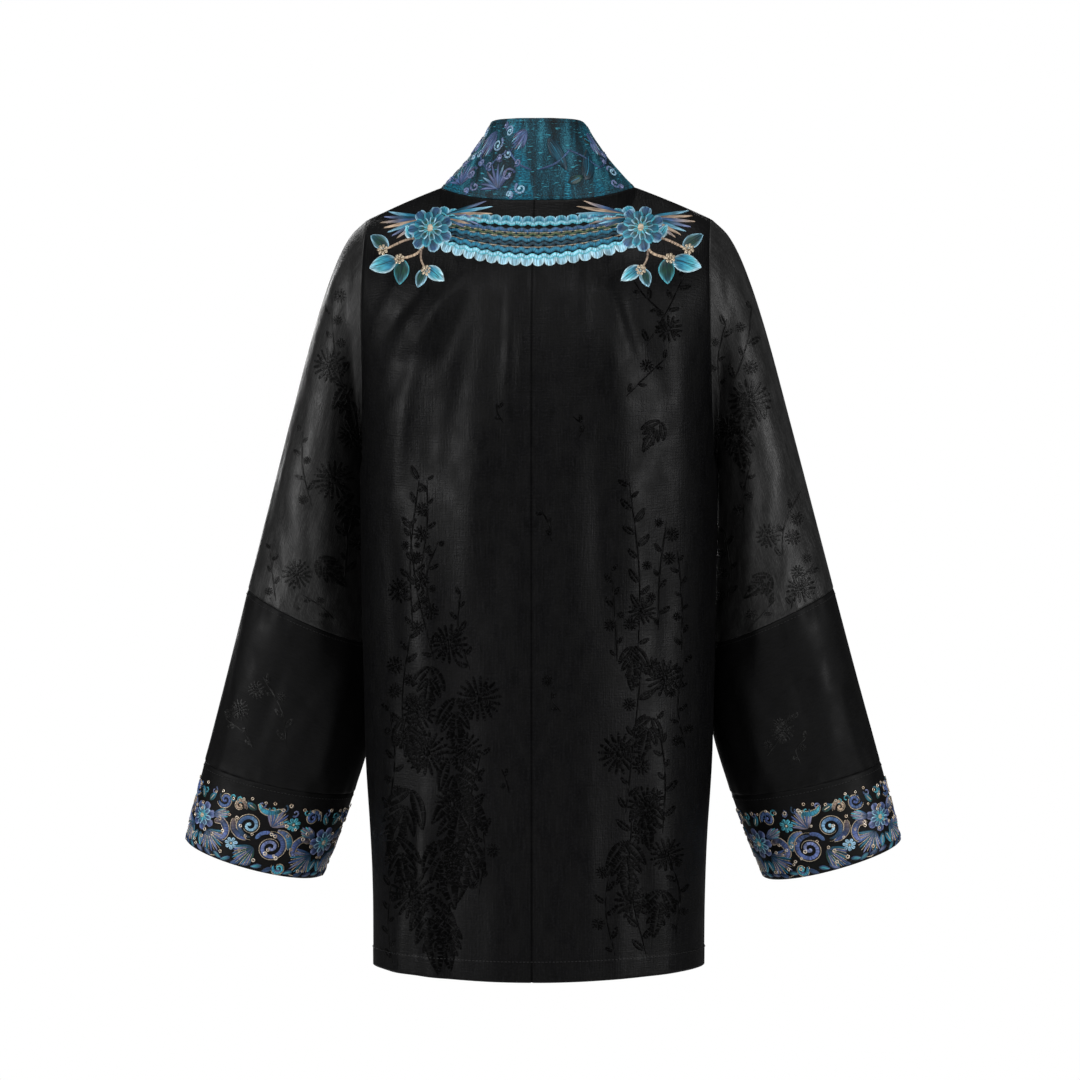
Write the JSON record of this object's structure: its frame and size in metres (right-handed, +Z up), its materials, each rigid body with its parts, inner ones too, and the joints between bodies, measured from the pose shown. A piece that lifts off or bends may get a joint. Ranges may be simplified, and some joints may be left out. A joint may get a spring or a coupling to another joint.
{
  "type": "embroidered kimono-style jacket, worn form",
  "caption": "Hip-length satin jacket cut like a kimono, in its worn hollow form: panels round an open body, wide sleeves with cuff bands, and a standing collar band down both front edges.",
  "frame": {"origin": "middle of the neck, at the height where the collar meets the shoulders; the wearer's shoulders and neck hold the garment there", "axes": "+Z up along the wearer, -Y out of the front, +X to the wearer's left"},
  "size_m": [0.722, 0.2502, 0.8532],
  "materials": {
    "black_satin": "black silk satin with a tone-on-tone woven figure",
    "teal_silk": "teal woven silk with embroidery",
    "cuff_silk": "black silk closely embroidered in blue and teal"
  },
  "bodies": {
    "root": {"back_left": "black_satin", "back_right": "black_satin", "front_left": "black_satin", "front_right": "black_satin", "collar_left": "teal_silk", "collar_right": "teal_silk", "sleeve_left_upper": "black_satin", "sleeve_right_upper": "black_satin", "sleeve_left_lower": "black_satin", "sleeve_right_lower": "black_satin", "cuff_left": "cuff_silk", "cuff_right": "cuff_silk"}
  },
  "joints": []
}
